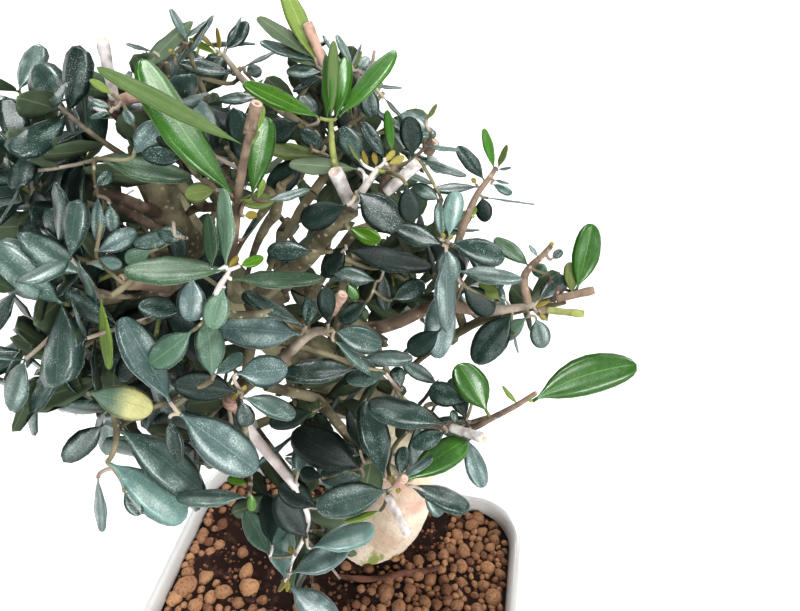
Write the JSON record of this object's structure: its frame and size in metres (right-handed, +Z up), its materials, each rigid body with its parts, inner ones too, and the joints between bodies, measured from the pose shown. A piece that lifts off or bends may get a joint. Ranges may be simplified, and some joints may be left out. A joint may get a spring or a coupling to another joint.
{
  "type": "olive bonsai",
  "caption": "Small olive tree with an S-curved tapering trunk, spreading boughs and an open rounded crown of leathery leaves, planted in a white glazed rectangular pot.",
  "frame": {"origin": "centre of the pot's flat underside, on the surface that it stands on", "axes": "+Z up, +X along the pot's long side to the right as the crown's free shoots point, +Y to the back, where the trunk stands"},
  "size_m": [0.1874, 0.1569, 0.2962],
  "materials": {
    "glaze": "smooth white gloss glaze",
    "soil": "moist brown granules and dark humus",
    "bark": "smooth pale olive bark with small knots",
    "leaves": "satin leathery grey-green leaves on pale twigs"
  },
  "bodies": {
    "root": {"bough_hanging": "bark", "bough_low_right": "bark", "bough_right": "bark", "bough_shoulder_1": "bark", "bough_shoulder_2": "bark", "bough_shoulder_3": "bark", "bough_shoulder_4": "bark", "bough_shoulder_5": "bark", "bough_shoulder_6": "bark", "bough_side_1": "bark", "bough_side_2": "bark", "bough_side_3": "bark", "bough_side_4": "bark", "bough_side_5": "bark", "bough_side_6": "bark", "bough_top_1": "bark", "bough_top_2": "bark", "bough_top_3": "bark", "bough_under_1": "bark", "bough_under_2": "bark", "bough_under_3": "bark", "foliage_hanging": "leaves", "foliage_low_right": "leaves", "foliage_right": "leaves", "foliage_shoulder_1": "leaves", "foliage_shoulder_2": "leaves", "foliage_shoulder_3": "leaves", "foliage_shoulder_4": "leaves", "foliage_shoulder_5": "leaves", "foliage_shoulder_6": "leaves", "foliage_side_1": "leaves", "foliage_side_2": "leaves", "foliage_side_3": "leaves", "foliage_side_4": "leaves", "foliage_side_5": "leaves", "foliage_side_6": "leaves", "foliage_top_1": "leaves", "foliage_top_2": "leaves", "foliage_top_3": "leaves", "foliage_top_4": "leaves", "foliage_under_1": "leaves", "foliage_under_2": "leaves", "foliage_under_3": "leaves", "pot": "glaze", "soil": "soil", "trunk": "bark"}
  },
  "joints": []
}
